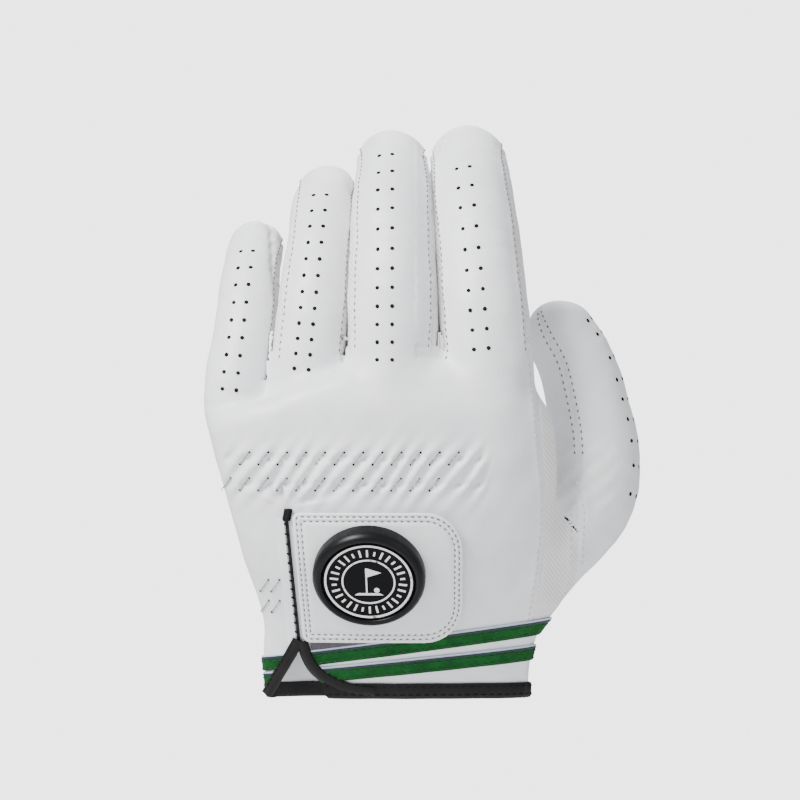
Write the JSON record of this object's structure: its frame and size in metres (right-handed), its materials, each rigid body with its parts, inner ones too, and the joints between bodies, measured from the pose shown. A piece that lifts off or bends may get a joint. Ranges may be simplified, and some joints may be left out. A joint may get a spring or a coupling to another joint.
{
  "type": "golf glove",
  "caption": "Left-hand leather golf glove with jointed finger tubes, a peel-open closure tab, a rubber badge holder with a pull-out marker disc, and a bound cuff with two trim strips.",
  "frame": {"origin": "centre of the wrist opening, in the plane of the cuff's rim", "axes": "+Z from the cuff to the fingertips, -Y out of the back of the hand, +X towards the thumb"},
  "size_m": [0.1322, 0.0662, 0.1726],
  "materials": {
    "white_leather": "satin",
    "strip_leather": "ribbed matt",
    "black_binding": "woven",
    "green_trim": "brushed",
    "loop_pile": "looped pile",
    "hook_tape": "hooked",
    "elastic": "matt",
    "badge_rubber": "satin",
    "magnet_steel": "plain",
    "marker_enamel": "gloss enamel"
  },
  "bodies": {
    "hand": {"back_panel": "white_leather", "index_side_strip": "strip_leather", "palm_panel": "white_leather", "thumb_base": "white_leather", "slit_binding_left": "black_binding", "slit_binding_right": "black_binding", "cuff_binding": "black_binding", "green_strip_upper": "green_trim", "green_strip_lower": "green_trim", "loop_pad": "loop_pile", "tab_anchor": "white_leather", "slit_bar_tack": "black_binding", "knuckle_elastic_upper": "elastic", "knuckle_elastic_lower": "elastic", "wrist_elastic": "elastic"},
    "closure_tab": {"hook_pad": "hook_tape", "tab_lining": "white_leather", "tab_outer": "white_leather", "badge_holder": "badge_rubber", "holder_magnet": "magnet_steel"},
    "marker": {"ball_marker": "marker_enamel"},
    "index_first": {"index_first_back": "white_leather", "index_first_palm": "white_leather", "index_first_gusset_inner": "strip_leather", "index_first_gusset_outer": "strip_leather"},
    "index_tip": {"index_tip_back": "white_leather", "index_tip_palm": "white_leather", "index_tip_gusset_inner": "strip_leather", "index_tip_gusset_outer": "strip_leather"},
    "middle_first": {"middle_first_back": "white_leather", "middle_first_palm": "white_leather", "middle_first_gusset_inner": "strip_leather", "middle_first_gusset_outer": "strip_leather"},
    "middle_tip": {"middle_tip_back": "white_leather", "middle_tip_palm": "white_leather", "middle_tip_gusset_inner": "strip_leather", "middle_tip_gusset_outer": "strip_leather"},
    "ring_first": {"ring_first_back": "white_leather", "ring_first_palm": "white_leather", "ring_first_gusset_inner": "strip_leather", "ring_first_gusset_outer": "strip_leather"},
    "ring_tip": {"ring_tip_back": "white_leather", "ring_tip_palm": "white_leather", "ring_tip_gusset_inner": "strip_leather", "ring_tip_gusset_outer": "strip_leather"},
    "little_first": {"little_first_back": "white_leather", "little_first_palm": "white_leather", "little_first_gusset": "strip_leather"},
    "little_tip": {"little_tip_back": "white_leather", "little_tip_palm": "white_leather", "little_tip_gusset": "strip_leather"},
    "thumb_first": {"thumb_first_back": "white_leather", "thumb_first_palm": "white_leather"},
    "thumb_tip": {"thumb_tip_back": "white_leather", "thumb_tip_palm": "white_leather"}
  },
  "joints": [
    {"name": "tab_peel", "type": "hinge", "parent": "hand", "child": "closure_tab", "pos_m": [-0.0317, -0.03643, 0.038], "axis": [0.0633, 0.5326, -0.844], "range_deg": [0, 150]},
    {"name": "marker_pull", "type": "slide", "parent": "closure_tab", "child": "marker", "axis": [-0.0581, -0.831, -0.5532], "range_m": [0, 0.018]},
    {"name": "index_knuckle", "type": "hinge", "parent": "hand", "child": "index_first", "pos_m": [0.027, -0.039, 0.099], "axis": [-0.9954, 0, -0.0958], "range_deg": [-15, 50]},
    {"name": "index_bend", "type": "hinge", "parent": "index_first", "child": "index_tip", "pos_m": [0.02331, -0.0329, 0.13734], "axis": [-0.9954, 0, -0.0958], "range_deg": [-30, 55]},
    {"name": "middle_knuckle", "type": "hinge", "parent": "hand", "child": "middle_first", "pos_m": [-0.00213, -0.041, 0.101], "axis": [-1, 0, 0], "range_deg": [-15, 50]},
    {"name": "middle_bend", "type": "hinge", "parent": "middle_first", "child": "middle_tip", "pos_m": [-0.00213, -0.03498, 0.13903], "axis": [-1, 0, 0], "range_deg": [-30, 55]},
    {"name": "ring_knuckle", "type": "hinge", "parent": "hand", "child": "ring_first", "pos_m": [-0.02813, -0.037, 0.097], "axis": [-0.9954, 0, 0.0958], "range_deg": [-15, 50]},
    {"name": "ring_bend", "type": "hinge", "parent": "ring_first", "child": "ring_tip", "pos_m": [-0.02468, -0.03098, 0.13283], "axis": [-0.9954, 0, 0.0958], "range_deg": [-30, 55]},
    {"name": "little_knuckle", "type": "hinge", "parent": "hand", "child": "little_first", "pos_m": [-0.0494, -0.031, 0.09], "axis": [-0.9945, 0, 0.1045], "range_deg": [-15, 50]},
    {"name": "little_bend", "type": "hinge", "parent": "little_first", "child": "little_tip", "pos_m": [-0.04657, -0.02599, 0.11689], "axis": [-0.9945, 0, 0.1045], "range_deg": [-30, 55]},
    {"name": "thumb_spread", "type": "hinge", "parent": "hand", "child": "thumb_first", "pos_m": [0.059, -0.012, 0.066], "axis": [0.4059, 0.9132, -0.0376], "range_deg": [-30, 20]},
    {"name": "thumb_straighten", "type": "hinge", "parent": "thumb_first", "child": "thumb_tip", "pos_m": [0.057, -0.01, 0.093], "axis": [0.3387, 0.9303, 0.1411], "range_deg": [-50, 18]}
  ]
}
